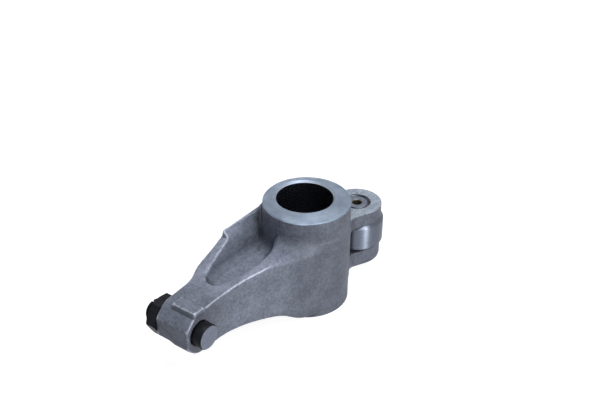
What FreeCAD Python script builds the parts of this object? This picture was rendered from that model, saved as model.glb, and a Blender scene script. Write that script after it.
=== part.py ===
import FreeCAD, Part
import Sketcher
import math
import os
import re
from FreeCAD import Placement, Rotation, Vector

# Heavy-duty engine rocker arm: a forged body that rocks on a shaft, with a cam roller in a fork at one
# end and a valve adjusting screw with a swivelling foot at the other.
# Frame: origin on the shaft bore's axis midway along the hub, +Z up the bore, +X towards the arm's tip,
# +Y towards the foot. All sizes in millimetres, angles in degrees.

SIZES = {
    # hub, whose outside is eccentric to its bore
    "hub_radius": 30.5,
    "hub_height": 79.4,
    "hub_shift_x": 3.0,
    "hub_shift_y": 4.1,
    "hub_edge": 1.0,
    "bore_radius": 20.0,
    "bush_wall": 1.7,
    "bush_recess": 0.25,
    "bush_chamfer": 1.3,
    "root_fillet": 8.0,
    "floor_fillet": 8.0,
    # arm seen from above
    "tip_front": 5.7,
    "tip_back": -20.8,
    "front_sweep": 100.0,
    "front_sweep_start": 105.0,
    "taper_start": 78.0,
    "taper_end": 104.0,
    # arm seen from the side: half heights from the middle plane
    "flank_split": -8.5,
    "root_half": 30.3,
    "root_end": 55.6,
    "flank_start": 57.1,
    "flank_half_front": 21.3,
    "flank_half_back": 26.5,
    "flank_sweep_front": 600.0,
    "flank_sweep_back": 110.0,
    "neck_x": 95.0,
    "neck_half": 16.4,
    "tip_half": 15.0,
    "tip_edge": 2.0,
    # tip block with the screw's axis
    "screw_x": 119.5,
    "boss_radius": 16.0,
    "end_flat": 13.4,
    "pad_start": 114.2,
    "pad_length": 8.6,
    "pad_width": 18.0,
    "pad_rise": 2.3,
    "pad_edge": 1.2,
    # pocket in the arm's upper and lower side
    "web_half": 9.5,
    "pocket_draft": 8.0,
    "pocket_floor_fillet": 4.5,
    "pocket_root_x": 20.0,
    "pocket_root_back": -16.5,
    "pocket_root_front": -9.5,
    "pocket_back_x": 56.0,
    "pocket_back_y": -17.5,
    "pocket_back_sweep": 112.0,
    "pocket_point_x": 99.5,
    "pocket_point_y": -10.0,
    "pocket_point_round": 5.3,
    "pocket_front_x": 46.0,
    "pocket_front_y": 4.2,
    "pocket_front_corner": 12.0,
    "pocket_front_sweep": 72.0,
    "back_flange": 7.0,
    # fork
    "pin_x": -41.6,
    "pin_y": 16.7,
    "eye_radius": 17.5,
    "ear_thickness": 9.7,
    "slot_width": 21.2,
    "lug_taper": 10.3,
    "lug_edge": 4.0,
    "lug_fillet": 5.5,
    # roller, its floating bush and its pin
    "roller_radius": 19.6,
    "roller_width": 20.7,
    "roller_chamfer": 1.9,
    "roller_relief": 0.8,
    "pin_radius": 10.0,
    "pin_bore": 3.4,
    "pin_recess": 0.25,
    "stake_radius": 7.2,
    "stake_width": 1.8,
    "stake_depth": 0.8,
    "floating_wall": 2.2,
    "running_gap": 0.04,
    # adjusting screw, lock nut and foot
    "screw_radius": 8.0,
    "thread_gap": 0.05,
    "nut_flats": 24.0,
    "nut_height": 8.2,
    "nut_chamfer": 0.8,
    "nut_face_inset": 0.5,
    "nut_corner_angle": 30.0,
    "screw_stick_out": 5.5,
    "screw_chamfer": 1.2,
    "neck_back": 2.0,
    "neck_radius": 2.6,
    "slot_depth": 2.6,
    "driver_slot_width": 2.2,
    "ball_radius": 4.0,
    "ball_flat": 2.4,
    "foot_radius": 8.7,
    "foot_height": 7.0,
    "foot_gap": 0.8,
    "foot_floor": 1.0,
    "foot_chamfer": 0.5,
    # oil drilling
    "oil_radius": 2.0,
    # how far shapes that are joined or cut run on into each other
    "overlap": 1.0,
}

# Lengths and angles that follow from the sizes above
WORKED = {
    "hub_half": "hub_height / 2",
    "bush_radius": "bore_radius + bush_wall",
    "bush_half": "hub_half - bush_recess",
    "back_fillet": "min(root_fillet; hub_half - hub_edge - overlap / 4 - root_half)",
    "hub_back": "hub_shift_y - hub_radius",
    "tip_end": "screw_x + end_flat",
    "end_half": "sqrt(boss_radius ^ 2 - end_flat ^ 2)",
    "boss_shoulder": "screw_x + sqrt(boss_radius ^ 2 - tip_half ^ 2)",
    "sweep_x": "front_sweep_start - hub_shift_x",
    "sweep_y": "tip_front + front_sweep - hub_shift_y",
    "sweep_away": "hypot(sweep_x; sweep_y)",
    "sweep_turn": "atan2(sweep_y; sweep_x) + acos((front_sweep + hub_radius) / sweep_away)",
    "taper_length": "taper_end - taper_start",
    "taper_rise": "tip_back - hub_back",
    "taper_radius": "(taper_length ^ 2 + taper_rise ^ 2) / (4 * taper_rise)",
    "lug_length": "hypot(pin_x - hub_shift_x; pin_y - hub_shift_y)",
    "lug_turn": "atan2(pin_y - hub_shift_y; pin_x - hub_shift_x)",
    "eye_end": "eye_radius * sin(lug_taper)",
    "eye_half": "eye_radius * cos(lug_taper)",
    "lug_root_half": "eye_half - (lug_length - eye_end) * tan(lug_taper)",
    "fork_half": "slot_width / 2 + ear_thickness",
    "roller_half": "roller_width / 2",
    "pin_half": "fork_half - pin_recess",
    "stake_middle": "stake_radius + stake_width / 2",
    "stake_end": "stake_radius + stake_width",
    "floating_bore": "pin_radius + running_gap",
    "floating_radius": "floating_bore + floating_wall",
    "roller_bore": "floating_radius + running_gap",
    "nut_face": "tip_back - nut_height",
    "nut_bore": "screw_radius + thread_gap",
    "nut_corner": "nut_flats / sqrt(3)",
    "screw_tail": "nut_face - screw_stick_out",
    "screw_shoulder": "tip_front - neck_back",
    "foot_back": "tip_front + foot_gap",
    "foot_face": "foot_back + foot_height",
    "socket_radius": "ball_radius + running_gap",
    "ball_y": "foot_face - foot_floor - socket_radius",
    "socket_mouth": "sqrt(socket_radius ^ 2 - (ball_y - foot_back) ^ 2)",
    "socket_end": "sqrt(socket_radius ^ 2 - ball_flat ^ 2)",
    "oil_y": "(tip_front + tip_back) / 4",
}

ALONG_Y = Rotation(Vector(1, 0, 0), -90)
SIDE_VIEW = Rotation(Vector(1, 0, 0), 90)
NEAR = 0.01

doc = FreeCAD.newDocument("rocker_arm")


def fill_sheet(name, cells):
    """A sheet with one named cell a row, its name beside it."""
    sheet = doc.addObject("Spreadsheet::Sheet", name)
    for row, (alias, content) in enumerate(cells.items(), start=1):
        sheet.set(f"A{row}", alias)
        sheet.set(f"B{row}", content)
        sheet.setAlias(f"B{row}", alias)
    doc.recompute()
    return sheet


def bound(text):
    """The text of a size with each name in it read from its sheet."""
    def from_sheet(word):
        if word[0] in SIZES:
            return "Sizes." + word[0]
        return "Worked." + word[0] if word[0] in WORKED else word[0]
    return re.sub(r"[a-z_]+[a-z0-9_]*", from_sheet, text)


fill_sheet("Sizes", {alias: str(number) for alias, number in SIZES.items()})
worked = fill_sheet("Worked", {alias: "=" + bound(text) for alias, text in WORKED.items()})


def size(text):
    """The number that a size's text comes to."""
    return float(worked.evalExpression(bound(text)))


def bind(thing, **texts):
    """Ties each property of the thing to the text of its size."""
    for name, text in texts.items():
        thing.setExpression(name.replace("__", "."), bound(text))


def place(thing, turn, spot):
    """Turns the thing and ties its place (x, y, z) to the sizes."""
    thing.Placement = Placement(Vector(), turn)
    for axis, text in zip("xyz", spot):
        bind(thing, **{f"Placement__Base__{axis}": text})


def hold(sketch, kind, where, text):
    """A sketch dimension whose value follows the text of a size."""
    held = sketch.addConstraint(Sketcher.Constraint(kind, *where, size(text)))
    sketch.setExpression(f"Constraints[{held}]", bound(text))


def outline(sketch, corners):
    """A closed outline through corners (x, y), each joined to the next by a straight line, or by an
    arc where it gives (x, y, radius): a radius with a minus sign in front curves to the right."""
    spots = [Vector(size(corner[0]), size(corner[1]), 0) for corner in corners]
    first_end = []
    for k, corner in enumerate(corners):
        start, end = spots[k], spots[(k + 1) % len(spots)]
        leftwards = len(corner) == 2 or not corner[2].startswith("-")
        first_end.append(1 if leftwards else 2)
        if len(corner) == 2:
            sketch.addGeometry(Part.LineSegment(start, end))
            continue
        text = corner[2].lstrip("-")
        radius, chord = size(text), end - start
        reach = math.sqrt(radius ** 2 - (chord.Length / 2) ** 2)
        left = Vector(-chord.y, chord.x, 0).normalize()
        centre = start + chord / 2 + left * (reach if leftwards else -reach)
        turns = [math.atan2(spot.y - centre.y, spot.x - centre.x) for spot in (start, end)]
        circle = Part.Circle(centre, Vector(0, 0, 1), radius)
        sketch.addGeometry(Part.ArcOfCircle(circle, *(turns if leftwards else turns[::-1])))
        hold(sketch, "Radius", [k], text)
    for k, corner in enumerate(corners):
        follower = (k + 1) % len(corners)
        meeting = (k, 3 - first_end[k], follower, first_end[follower])
        sketch.addConstraint(Sketcher.Constraint("Coincident", *meeting))
        hold(sketch, "DistanceX", (-1, 1, k, first_end[k]), corner[0])
        hold(sketch, "DistanceY", (-1, 1, k, first_end[k]), corner[1])


def free_sketch(name, corners, turn=Rotation(), spot=("0", "0", "0")):
    """A sketch that stands by itself, turned and placed as asked."""
    sketch = doc.addObject("Sketcher::SketchObject", name)
    place(sketch, turn, spot)
    outline(sketch, corners)
    return sketch


def raised(name, sketch, height):
    """The sketch's outline raised to a solid."""
    solid = doc.addObject("Part::Extrusion", name)
    solid.Base = sketch
    solid.DirMode = "Normal"
    solid.Solid = True
    bind(solid, LengthFwd=height)
    return solid


def post(name, radius, height, spot, turn=Rotation()):
    """A cylinder from its foot at the spot, its axis turned as asked."""
    cylinder = doc.addObject("Part::Cylinder", name)
    place(cylinder, turn, spot)
    bind(cylinder, Radius=radius, Height=height)
    return cylinder


def turned_ring(name, profile, x, y):
    """A ring about an upright axis from its half section, given as (radius, height)."""
    ring = doc.addObject("Part::Revolution", name)
    ring.Source = free_sketch(name + "_section", profile, SIDE_VIEW, (x, y, "0"))
    ring.Axis = (0, 0, 1)
    ring.Angle = 360
    ring.Solid = True
    bind(ring, Base__x=x, Base__y=y)
    return ring


def mirrored(name, source):
    """The same again below the middle plane."""
    mirror = doc.addObject("Part::Mirroring", name)
    mirror.Source = source
    mirror.Normal = (0, 0, 1)
    return mirror


def joined(name, solids):
    fusion = doc.addObject("Part::MultiFuse", name)
    fusion.Shapes = solids
    fusion.Refine = True
    return fusion


def shared(name, solids):
    common = doc.addObject("Part::MultiCommon", name)
    common.Shapes = solids
    common.Refine = True
    return common


def cut_out(name, base, tools):
    cut = doc.addObject("Part::Cut", name)
    cut.Base = base
    cut.Tool = joined(name + "_by", tools)
    cut.Refine = True
    return cut


def rounded(name, base, *rounds, kind="Fillet"):
    """The base with round edges, or bevelled ones where the kind is Chamfer: each round gives a size
    and tells which edges it takes."""
    doc.recompute()
    fillet = doc.addObject("Part::" + kind, name)
    fillet.Base = base
    fillet.Edges = [(k, size(radius), size(radius))
                    for k, edge in enumerate(base.Shape.Edges, start=1)
                    for radius, chosen in rounds if chosen(edge)]
    return fillet


def middle_of(edge):
    return edge.valueAt((edge.FirstParameter + edge.LastParameter) / 2)


def close(one, text):
    return abs(one - size(text)) < NEAR


def on_hub(spot):
    """Whether the spot lies on the hub's outside."""
    away = math.hypot(spot.x - size("hub_shift_x"), spot.y - size("hub_shift_y"))
    return close(away, "hub_radius")


def arm_from_above():
    """The arm and tip block as a slab of full height: flat back, swept front tangent to the hub."""
    plan = free_sketch("arm_plan", [
        ("hub_shift_x", "hub_back"),
        ("taper_start", "hub_back", "taper_radius"),
        ("(taper_start + taper_end) / 2", "(hub_back + tip_back) / 2", "-taper_radius"),
        ("taper_end", "tip_back"),
        ("tip_end", "tip_back"),
        ("tip_end", "tip_front"),
        ("front_sweep_start", "tip_front", "-front_sweep"),
        ("front_sweep_start - front_sweep * cos(sweep_turn)",
         "tip_front + front_sweep - front_sweep * sin(sweep_turn)"),
        ("hub_shift_x + hub_radius * cos(sweep_turn)", "hub_shift_y + hub_radius * sin(sweep_turn)"),
        ("hub_shift_x", "hub_shift_y"),
    ], spot=("0", "0", "-hub_half"))
    return raised("arm_slab", plan, "hub_height")


def arm_from_the_side(name, flank, y, width):
    """One side of the arm up to its end: the flank from the root on and the boss round the screw, then
    the same below the middle plane. It reaches from y backwards by the width."""
    upper = flank + [
        ("neck_x", "neck_half"),
        ("boss_shoulder", "tip_half", "-boss_radius"),
        ("tip_end", "end_half"),
    ]
    lower = [(corner[0], "-" + corner[1], *before[2:]) for before, corner in zip(upper, upper[1:])]
    corners = upper + lower[::-1] + [(upper[0][0], "-" + upper[0][1])]
    return raised(name, free_sketch(name + "_outline", corners, SIDE_VIEW, ("0", y, "0")), width)


def pocketed_arm(slab):
    """The arm and tip block, cut to their outlines from the side and hollowed by the pockets: the front
    flange is low and even, the back one is high at the root and steps down where the root ends."""
    front = arm_from_the_side(
        "front_flange", [("0", "flank_half_front"), ("flank_start", "flank_half_front", "flank_sweep_front")],
        "hub_shift_y + hub_radius", "hub_shift_y + hub_radius - flank_split")
    back = arm_from_the_side(
        "back_flange", [("0", "root_half"), ("root_end", "root_half"),
                        ("flank_start", "flank_half_back", "flank_sweep_back")],
        "flank_split", "flank_split - hub_back")
    block = shared("arm_block", [slab, joined("arm_sides", [front, back])])
    ended = rounded("arm_ended", block, (
        "tip_edge", lambda edge: close(middle_of(edge).x, "tip_end") and close(middle_of(edge).z, "0")))
    return cut_out("pocketed_arm", ended, pockets())


def hub_collar(name, slab, level, radius, back, front):
    """A hollow fillet that runs round the hub on a surface at the level above the middle plane and at
    its mirror image below, between the two places along Y."""
    ring = turned_ring(name + "_ring", [
        ("hub_radius - overlap", f"{level} - overlap"),
        (f"hub_radius + {radius}", f"{level} - overlap"),
        (f"hub_radius + {radius}", level, f"-{radius}"),
        ("hub_radius", f"{level} + {radius}"),
        ("hub_radius - overlap", f"{level} + {radius}"),
    ], "hub_shift_x", "hub_shift_y")
    reach = doc.addObject("Part::Box", name + "_reach")
    place(reach, Rotation(), ("hub_shift_x", back, "0"))
    bind(reach, Length="screw_x", Width=f"{front} - ({back})", Height="hub_half")
    upper = shared(name + "_upper", [slab, ring, reach])
    return [upper, mirrored(name + "_lower", upper)]


def hub_with_lug():
    """The hub and the lug that the fork is cut from: an eye round the roller's pin with a waist
    towards the hub, blended into the hub and with a soft lower edge."""
    hub = post("hub", "hub_radius", "hub_height", ("hub_shift_x", "hub_shift_y", "-hub_half"))
    plan = free_sketch("lug_plan", [
        ("eye_end", "eye_half", "eye_radius"),
        ("-eye_radius", "0", "eye_radius"),
        ("eye_end", "-eye_half"),
        ("lug_length", "-lug_root_half"),
        ("lug_length", "lug_root_half"),
    ], spot=("pin_x", "pin_y", "-fork_half"))
    bind(plan, Placement__Rotation__Angle="lug_turn + 180 deg")
    stub = joined("hub_and_lug", [hub, raised("lug", plan, "2 * fork_half")])

    def meets_hub(edge):
        spot = middle_of(edge)
        below_the_top = -size("fork_half") - NEAR < spot.z < size("fork_half") - NEAR
        return on_hub(spot) and below_the_top and spot.x < 0

    def under_the_eye(edge):
        spot = middle_of(edge)
        return close(spot.z, "-fork_half") and spot.x < size("pin_x + eye_radius")

    blended = rounded("lug_blended", stub, ("lug_fillet", meets_hub))
    return rounded("lug_rounded", blended, ("lug_edge", under_the_eye))


def tip_pad():
    """The raised pad on the tip block's upper side, soft round three of its upper edges."""
    block = doc.addObject("Part::Box", "pad_block")
    place(block, Rotation(), ("pad_start", "tip_front - pad_width", "pad_rise"))
    bind(block, Length="pad_length", Width="pad_width", Height="tip_half")

    def upper_but_front(edge):
        spot = middle_of(edge)
        return close(spot.z, "pad_rise + tip_half") and spot.y < size("tip_front") - NEAR

    return rounded("tip_pad", block, ("pad_edge", upper_but_front))


def pockets():
    """The teardrop pockets in the arm's upper and lower side, open towards the hub's outside, drafted,
    with a rounded floor."""
    plan = free_sketch("pocket_plan", [
        ("pocket_root_x", "pocket_root_back"),
        ("pocket_back_x", "pocket_back_y", "pocket_back_sweep"),
        ("pocket_point_x", "pocket_point_y", "pocket_front_sweep"),
        ("pocket_front_x", "pocket_front_y"),
        ("pocket_root_x", "pocket_root_front"),
    ], spot=("0", "0", "web_half"))
    tool = raised("pocket_tool", plan, "root_half - web_half + overlap")
    bind(tool, TaperAngle="pocket_draft")

    def upright_from(x):
        return lambda edge: (edge.BoundBox.ZLength > size("overlap")
                             and any(close(end.X, x) for end in edge.Vertexes))

    sides = rounded("pocket_sides", tool,
                    ("pocket_point_round", upright_from("pocket_point_x")),
                    ("pocket_front_corner", upright_from("pocket_front_x")))
    upper = rounded("pocket_upper", sides, (
        "pocket_floor_fillet", lambda edge: close(middle_of(edge).z, "web_half")))
    return [upper, mirrored("pocket_lower", upper)]


def machining():
    """The seat of the shaft's bush, the fork's slot and pin seat, the screw's hole, and the drilling
    that leads oil from the bore through the arm's web to the screw."""
    return [
        post("bush_seat", "bush_radius", "hub_height", ("0", "0", "-hub_half")),
        post("roller_slot", "roller_radius + roller_relief", "slot_width",
             ("pin_x", "pin_y", "-slot_width / 2")),
        post("pin_seat", "pin_radius", "2 * fork_half", ("pin_x", "pin_y", "-fork_half")),
        post("screw_hole", "nut_bore", "tip_front - tip_back", ("screw_x", "tip_back", "0"), ALONG_Y),
        post("oil_drilling", "oil_radius", "screw_x", ("0", "oil_y", "0"), Rotation(Vector(0, 1, 0), 90)),
    ]


def rocker_body():
    """The forging and the machining done on it."""
    slab = arm_from_above()
    collars = (hub_collar("floor_collar", slab, "web_half", "floor_fillet", "hub_back", "hub_shift_y")
               + hub_collar("front_collar", slab, "flank_half_front", "root_fillet", "0",
                            "hub_shift_y + hub_radius")
               + hub_collar("back_collar", slab, "root_half", "back_fillet", "hub_back",
                            "hub_back + back_flange"))
    forging = joined("forging", [hub_with_lug(), pocketed_arm(slab), tip_pad()] + collars)
    machined = cut_out("machined", forging, machining())

    def end_rim(edge):
        spot = middle_of(edge)
        return on_hub(spot) and close(abs(spot.z), "hub_half")

    return rounded("rocker_body", machined, ("hub_edge", end_rim), kind="Chamfer")


def body_sketch(body, name, role, corners):
    """A sketch on one of the body's own planes."""
    sketch = body.newObject("Sketcher::SketchObject", name)
    plane = next(plane for plane in body.Origin.OriginFeatures if plane.Role == role)
    sketch.AttachmentSupport = [(plane, "")]
    sketch.MapMode = "FlatFace"
    outline(sketch, corners)
    return sketch


def whole_turn(body, kind, name, profile):
    """The half section (radius, height) turned all the way round the body's upright axis."""
    section = body_sketch(body, name + "_section", "XZ_Plane", profile)
    feature = body.newObject("PartDesign::" + kind, name)
    feature.Profile = section
    feature.ReferenceAxis = (section, ["V_Axis"])
    feature.Angle = 360
    doc.recompute()


def turned_body(name, profile, spot, turn=Rotation()):
    """A body turned from its half section, given as (radius, height)."""
    body = doc.addObject("PartDesign::Body", name)
    whole_turn(body, "Revolution", name + "_turned", profile)
    place(body, turn, spot)
    return body


def cut_across(body, name, role, corners, length, both_ways):
    """A straight cut with the outline given, through the body or to one side of the sketch."""
    pocket = body.newObject("PartDesign::Pocket", name)
    pocket.Profile = body_sketch(body, name + "_section", role, corners)
    pocket.Type = "Length"
    pocket.Midplane = both_ways
    pocket.Reversed = not both_ways
    bind(pocket, Length=length)
    before = body.Shape.Volume
    doc.recompute()
    if not body.Shape.Volume < before:
        raise RuntimeError(f"{name} cuts nothing")


def shaft_bush():
    """The pressed-in bush that the rocker shaft runs in, its ends chamfered for the shaft, with the
    hole that meets the oil drilling."""
    body = turned_body("shaft_bush", [
        ("bore_radius", "bush_chamfer - bush_half"),
        ("bore_radius + bush_chamfer", "-bush_half"),
        ("bush_radius", "-bush_half"),
        ("bush_radius", "bush_half"),
        ("bore_radius + bush_chamfer", "bush_half"),
        ("bore_radius", "bush_half - bush_chamfer"),
    ], ("0", "0", "0"))
    cut_across(body, "bush_oil_hole", "YZ_Plane", [
        ("oil_y - oil_radius", "0", "oil_radius"),
        ("oil_y", "-oil_radius", "oil_radius"),
        ("oil_y + oil_radius", "0", "oil_radius"),
        ("oil_y", "oil_radius", "oil_radius"),
    ], "bush_radius + overlap", False)
    return body


def roller():
    """The cam roller: a hard ring with chamfered rims."""
    return turned_body("roller", [
        ("roller_bore", "-roller_half"),
        ("roller_radius - roller_chamfer", "-roller_half"),
        ("roller_radius", "roller_chamfer - roller_half"),
        ("roller_radius", "roller_half - roller_chamfer"),
        ("roller_radius - roller_chamfer", "roller_half"),
        ("roller_bore", "roller_half"),
    ], ("pin_x", "pin_y", "0"))


def roller_bush():
    """The floating bush between the roller and its pin."""
    return turned_body("roller_bush", [
        ("floating_bore", "-roller_half"),
        ("floating_radius", "-roller_half"),
        ("floating_radius", "roller_half"),
        ("floating_bore", "roller_half"),
    ], ("pin_x", "pin_y", "0"))


def roller_pin():
    """The roller's pin, a little below the ears' faces, with an oil bore, and with a staking groove in
    each end that spreads it in its seat."""
    upper = [
        ("pin_radius", "pin_half"),
        ("stake_end", "pin_half"),
        ("stake_middle", "pin_half - stake_depth"),
        ("stake_radius", "pin_half"),
        ("pin_bore", "pin_half"),
    ]
    lower = [(across, f"-({height})") for across, height in upper[::-1]]
    return turned_body("roller_pin", upper + lower, ("pin_x", "pin_y", "0"))


def adjusting_screw():
    """The adjusting screw: threaded shank with a driver slot, thin neck, and the ball that the foot
    swivels on. Its thread is shown by its outside diameter."""
    body = turned_body("adjusting_screw", [
        ("0", "screw_tail"),
        ("screw_radius - screw_chamfer", "screw_tail"),
        ("screw_radius", "screw_tail + screw_chamfer"),
        ("screw_radius", "screw_shoulder"),
        ("neck_radius", "screw_shoulder"),
        ("neck_radius", "ball_y - sqrt(ball_radius ^ 2 - neck_radius ^ 2)", "ball_radius"),
        ("sqrt(ball_radius ^ 2 - ball_flat ^ 2)", "ball_y + ball_flat"),
        ("0", "ball_y + ball_flat"),
    ], ("screw_x", "0", "0"), ALONG_Y)
    cut_across(body, "driver_slot", "XZ_Plane", [
        ("-driver_slot_width / 2", "screw_tail - overlap"),
        ("driver_slot_width / 2", "screw_tail - overlap"),
        ("driver_slot_width / 2", "screw_tail + slot_depth"),
        ("-driver_slot_width / 2", "screw_tail + slot_depth"),
    ], "4 * screw_radius", True)
    return body


def lock_nut():
    """The thin hexagon nut that locks the adjusting screw, its corners turned off at the outer face."""
    body = doc.addObject("PartDesign::Body", "lock_nut")
    prism = body.newObject("PartDesign::Pad", "nut_prism")
    prism.Profile = body_sketch(body, "nut_section", "XY_Plane", [
        (f"nut_corner * cos({turn} deg)", f"nut_corner * sin({turn} deg)") for turn in range(0, 360, 60)])
    bind(prism, Length="nut_height")
    doc.recompute()
    whole_turn(body, "Groove", "nut_threaded_hole", [
        ("0", "-overlap"),
        ("nut_bore + nut_chamfer + overlap", "-overlap"),
        ("nut_bore", "nut_chamfer"),
        ("nut_bore", "nut_height"),
        ("0", "nut_height"),
    ])
    whole_turn(body, "Groove", "nut_corners", [
        ("nut_flats / 2 - nut_face_inset", "0"),
        ("nut_flats", "0"),
        ("nut_flats", "(nut_flats / 2 + nut_face_inset) * tan(nut_corner_angle)"),
    ])
    place(body, ALONG_Y, ("screw_x", "nut_face", "0"))
    return body


def swivel_foot():
    """The foot that presses on the valve bridge: a short cylinder with a ground end and a ball socket."""
    return turned_body("swivel_foot", [
        ("socket_mouth", "foot_back", "socket_radius"),
        ("socket_end", "ball_y + ball_flat"),
        ("socket_end", "ball_y + socket_radius"),
        ("0", "ball_y + socket_radius"),
        ("0", "foot_face"),
        ("foot_radius - foot_chamfer", "foot_face"),
        ("foot_radius", "foot_face - foot_chamfer"),
        ("foot_radius", "foot_back + foot_chamfer"),
        ("foot_radius - foot_chamfer", "foot_back"),
    ], ("screw_x", "0", "0"), ALONG_Y)


pieces = [rocker_body(), shaft_bush(), roller(), roller_bush(), roller_pin(), adjusting_screw(), lock_nut(),
          swivel_foot()]
doc.recompute()
for thing in doc.Objects:
    if "Invalid" in thing.State or "Error" in thing.State:
        raise RuntimeError(f"{thing.Name} could not be made")
for piece in pieces:
    if piece.Shape.isNull() or not piece.Shape.isValid() or len(piece.Shape.Solids) != 1:
        raise RuntimeError(f"{piece.Label} is not one sound solid")
os.makedirs("parts", exist_ok=True)
for piece in pieces:
    piece.Shape.exportStep(f"parts/{piece.Label}.step")
    print(piece.Label, round(piece.Shape.Volume / 1000, 2), "cm3")
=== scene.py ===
import math

import bmesh
import bpy
import numpy as np
from mathutils import Matrix, Quaternion, Vector


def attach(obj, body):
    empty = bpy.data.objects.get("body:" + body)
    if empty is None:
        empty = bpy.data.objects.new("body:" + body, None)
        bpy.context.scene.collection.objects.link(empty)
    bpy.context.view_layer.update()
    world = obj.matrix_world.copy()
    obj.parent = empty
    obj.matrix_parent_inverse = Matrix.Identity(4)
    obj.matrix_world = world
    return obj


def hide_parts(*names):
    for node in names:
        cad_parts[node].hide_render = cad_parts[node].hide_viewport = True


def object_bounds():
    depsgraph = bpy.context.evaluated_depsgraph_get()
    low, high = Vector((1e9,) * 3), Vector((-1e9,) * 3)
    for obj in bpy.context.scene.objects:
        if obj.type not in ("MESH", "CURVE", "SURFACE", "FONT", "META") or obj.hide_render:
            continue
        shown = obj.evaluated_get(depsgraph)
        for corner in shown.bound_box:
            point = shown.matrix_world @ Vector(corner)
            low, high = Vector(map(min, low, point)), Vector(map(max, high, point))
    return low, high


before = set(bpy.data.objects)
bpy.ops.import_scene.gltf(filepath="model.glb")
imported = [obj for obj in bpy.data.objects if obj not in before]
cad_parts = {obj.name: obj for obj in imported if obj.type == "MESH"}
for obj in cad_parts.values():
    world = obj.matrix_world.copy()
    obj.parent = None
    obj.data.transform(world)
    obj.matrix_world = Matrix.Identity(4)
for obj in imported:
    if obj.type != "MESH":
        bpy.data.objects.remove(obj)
cad_box = [list(corner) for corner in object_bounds()]

# Engine rocker arm standing on the end of its hub. The object's own lines are in millimetres, as a
# drawing has them, and everything placed in the scene is in metres. Origin on the shaft bore's axis
# midway along the hub, +Z up the bore, +X towards the arm's tip, +Y towards the swivelling foot.


# Camera: a long lens about 0.7 m from the arm, above it on the foot's side. It was held almost level,
# so the picture leans by half a degree. Colours are shown as they are, without a film's curve.
CAMERA_SPOT = (0.4766, 0.3422, 0.4091)
CAMERA_LOOKS = (-0.6828, -0.4961, -0.5363)
CAMERA_ROLL = math.radians(0.52)
LENS_LENGTH, SENSOR_WIDTH = 60, 36

scene = bpy.context.scene
scene.view_settings.view_transform = "Standard"
lens = bpy.data.cameras.new("photo_lens")
lens.lens = LENS_LENGTH
lens.sensor_width = SENSOR_WIDTH
lens.clip_start = 0.02
camera = bpy.data.objects.new("photo_camera", lens)
camera.location = CAMERA_SPOT
camera.rotation_mode = "QUATERNION"
camera.rotation_quaternion = (Vector(CAMERA_LOOKS).to_track_quat("-Z", "Y")
                              @ Quaternion((0, 0, 1), CAMERA_ROLL))
scene.collection.objects.link(camera)
scene.camera = camera


# Floor: a wide sheet of matt white paper that the hub stands on. It glows enough of itself that only
# the soft shadow under the part tells it from the background.
class Wire:
    """A socket in a material's nodes. Sums written with wires add their own Math nodes."""

    def __init__(self, socket):
        self.socket = socket

    def node(self, kind, settings=None, sockets=None, out=0):
        """Adds a node of that kind: its settings first, then what its sockets take."""
        tree = self.socket.id_data
        made = tree.nodes.new("ShaderNode" + kind)
        for name, setting in (settings or {}).items():
            setattr(made, name, setting)
        for name, value in (sockets or {}).items():
            if isinstance(value, Wire):
                tree.links.new(value.socket, made.inputs[name])
            else:
                made.inputs[name].default_value = value
        return Wire(made.outputs[out])

    def math(self, operation, *values):
        return self.node("Math", {"operation": operation}, dict(enumerate((self,) + values)))

    def __add__(self, other):
        return self.math("ADD", other)

    def __mul__(self, other):
        return self.math("MULTIPLY", other)

    def __sub__(self, other):
        return self.math("SUBTRACT", other)

    def __rsub__(self, other):
        return (self * -1) + other

    def between(self, low, high):
        """How far the value has come from low to high, softly, from 0 to 1."""
        return self.node("MapRange", {"interpolation_type": "SMOOTHSTEP"},
                         {"Value": self, "From Min": low, "From Max": high})

    def blend(self, first, second):
        """The first colour where the value is 0, the second where it is 1."""
        colours = [colour if isinstance(colour, Wire) else (*colour, 1) for colour in (first, second)]
        return self.node("Mix", {"data_type": "RGBA"}, {0: self, 6: colours[0], 7: colours[1]}, out=2)

    def feeds(self, into):
        self.socket.id_data.links.new(self.socket, into)


def new_finish(name):
    """A material, its shader, and the wire of the piece's own coordinates in metres."""
    finish = bpy.data.materials.new(name)
    finish.use_nodes = True
    nodes = finish.node_tree.nodes
    return finish, nodes["Principled BSDF"], Wire(nodes.new("ShaderNodeTexCoord").outputs["Object"])


def seen_plainly(wire):
    """1 where the camera looks, also in metal or through glass, and 0 for light that falls on things."""
    camera_ray, glossy_ray, through_ray = [wire.node("LightPath", out=k) for k in (0, 3, 6)]
    return camera_ray.math("MAXIMUM", glossy_ray.math("MAXIMUM", through_ray))


FLOOR_HALF = 4.0
FLOOR_LEVEL = cad_box[0][2]
PAPER_GLOW = 0.93

floor_mesh = bpy.data.meshes.new("floor")
floor_mesh.from_pydata([(x * FLOOR_HALF, y * FLOOR_HALF, FLOOR_LEVEL)
                        for x, y in ((-1, -1), (1, -1), (1, 1), (-1, 1))], [], [(0, 1, 2, 3)])
floor = bpy.data.objects.new("floor", floor_mesh)
scene.collection.objects.link(floor)

paper, paper_shader, paper_place = new_finish("white_paper")
floor_mesh.materials.append(paper)
paper_shader.inputs["Roughness"].default_value = 0.9
paper_shader.inputs["Specular IOR Level"].default_value = 0.1
paper_shader.inputs["Emission Strength"].default_value = PAPER_GLOW
shown = seen_plainly(paper_place)
shown.blend((0.5, 0.5, 0.5), (0.25, 0.25, 0.25)).feeds(paper_shader.inputs["Base Color"])
shown.blend((0, 0, 0), (1, 1, 1)).feeds(paper_shader.inputs["Emission Color"])


# Light tent: pale walls all round, which the camera and the metal see white, and a wide soft lamp over
# the part. On the foot's side stand a small lamp, a tall strip and a low narrow strip that only puts a
# sheen on the steel.
TENT_LEVEL = (0.17, 0.18, 0.205)
LAMPS_AIM = (-0.04, 0, 0)

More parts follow.
